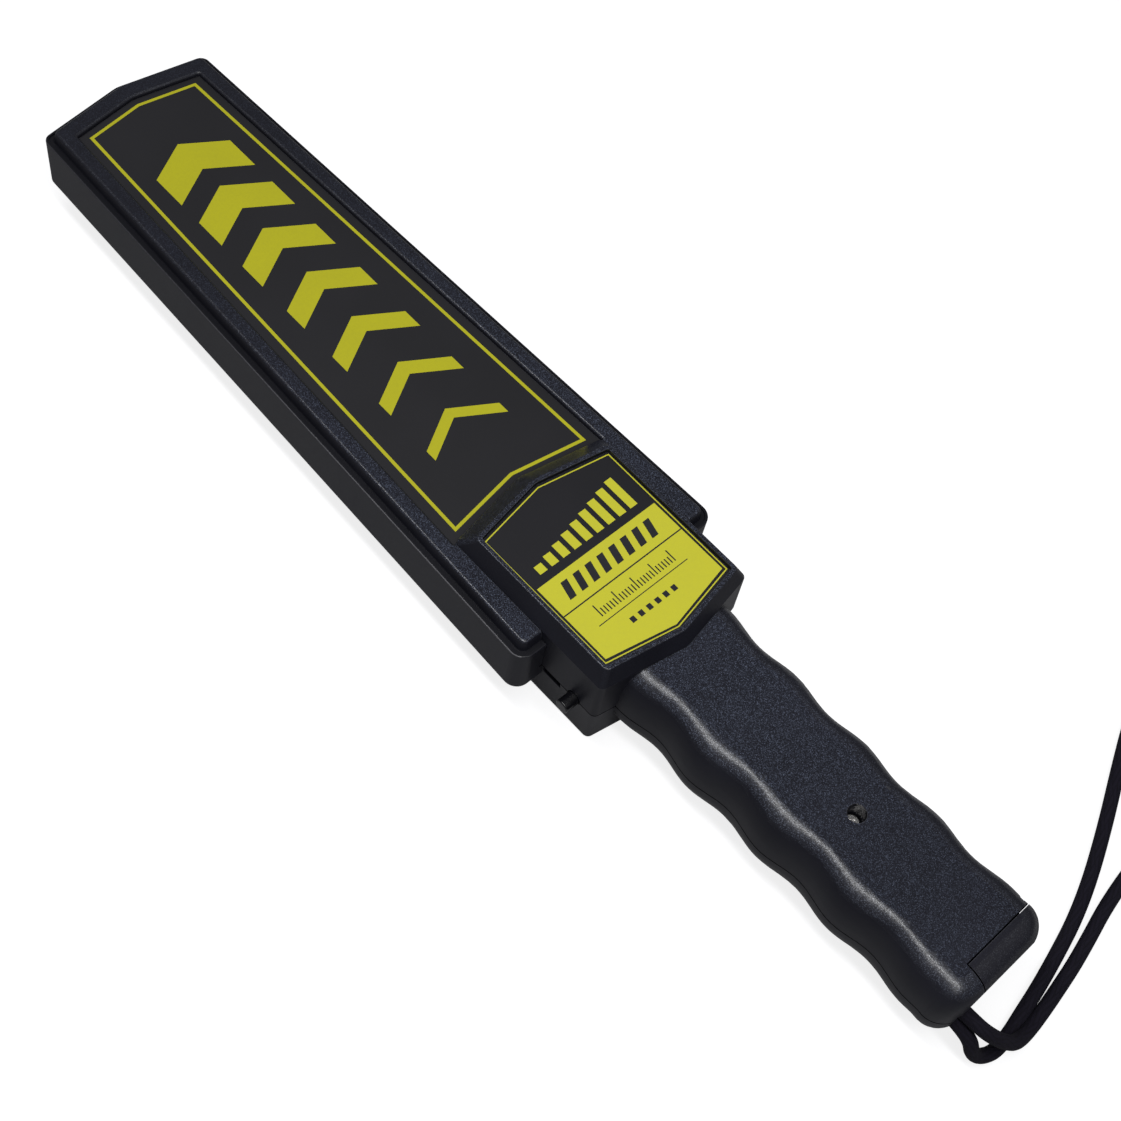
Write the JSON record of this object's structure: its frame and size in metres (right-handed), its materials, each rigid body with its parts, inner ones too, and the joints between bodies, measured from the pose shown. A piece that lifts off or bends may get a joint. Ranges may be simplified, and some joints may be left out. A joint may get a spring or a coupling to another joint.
{
  "type": "handheld metal detector",
  "caption": "Handheld metal detector with a long flat search head, a control box over its neck, a finger-grip handle and a wrist strap.",
  "frame": {"origin": "middle of the length on the centreline, in the plane of the control box's underside, the lowest plane", "axes": "+X from the tip of the head to the end of the handle, +Z out of the labelled face, the switch and the button on the -Y side"},
  "size_m": [0.4387, 0.193, 0.045],
  "materials": {
    "front_shell": "fine grained black moulding",
    "rear_shell": "fine grained black moulding",
    "scan_film": "satin black film with a yellow outline",
    "control_film": "satin film, black over yellow",
    "battery_cover": "fine grained black moulding",
    "battery_case": "plain metal jacket",
    "snap": "moulded black connector",
    "lead_red": "smooth insulation",
    "lead_black": "smooth insulation",
    "anchor": "moulded black block",
    "strap": "round black braid",
    "screw_steel": "plated steel",
    "rear_screw_steel": "blackened steel",
    "board": "green glass fibre board",
    "chips": "moulded black",
    "capacitors": "sleeved can",
    "headers": "ivory moulding",
    "trimmer_body": "blue moulding",
    "trimmer_rotor": "turned brass",
    "buzzer": "moulded black",
    "switch_body": "pressed steel frame",
    "slide_knob": "moulded black",
    "push_switch": "moulded black",
    "push_button": "smooth black moulding",
    "jack": "moulded black",
    "motor_can": "drawn steel can",
    "motor_weight": "dense half round weight",
    "former": "natural white moulding",
    "transmit_wire": "enamelled copper wire",
    "receive_wire": "enamelled copper wire",
    "rear_foam": "soft grey foam",
    "front_foam": "soft grey foam",
    "coil_cable": "grey screened cable"
  },
  "bodies": {
    "detector": {"front_shell": "front_shell", "rear_shell": "rear_shell", "scan_label": "scan_film", "control_label": "control_film", "battery": "battery_case", "battery_snap": "snap", "battery_lead_red": "lead_red", "battery_lead_black": "lead_black", "strap_anchor": "anchor", "wrist_strap": "strap", "handle_screw": "screw_steel", "rear_screws": "rear_screw_steel", "circuit_board": "board", "board_chips": "chips", "capacitors": "capacitors", "board_headers": "headers", "trimmer": "trimmer_body", "buzzer": "buzzer", "slide_switch": "switch_body", "push_switch": "push_switch", "jack_socket": "jack", "vibration_motor": "motor_can", "coil_former": "former", "transmit_coil": "transmit_wire", "receive_coil": "receive_wire", "rear_foam": "rear_foam", "front_foam": "front_foam", "coil_cable": "coil_cable"},
    "button": {"push_button": "push_button"},
    "knob": {"slide_knob": "slide_knob"},
    "cover": {"battery_cover": "battery_cover"},
    "rotor": {"trimmer_rotor": "trimmer_rotor"},
    "weight": {"motor_weight": "motor_weight"}
  },
  "joints": [
    {"name": "button_press", "type": "slide", "parent": "detector", "child": "button", "axis": [0, 1, 0], "range_m": [0, 0.001], "stiffness_N_per_m": 1500},
    {"name": "switch_slide", "type": "slide", "parent": "detector", "child": "knob", "axis": [1, 0, 0], "range_m": [-0.0016, 0.0016]},
    {"name": "cover_slide", "type": "slide", "parent": "detector", "child": "cover", "axis": [0, 1, 0], "range_m": [0, 0.033]},
    {"name": "trimmer_turn", "type": "hinge", "parent": "detector", "child": "rotor", "pos_m": [0.022, 0.011, 0.0171], "axis": [0, 0, 1], "range_deg": [-135, 135]},
    {"name": "motor_spin", "type": "hinge", "parent": "detector", "child": "weight", "pos_m": [0.1065, -0.009, 0.0149], "axis": [1, 0, 0], "continuous": true}
  ]
}
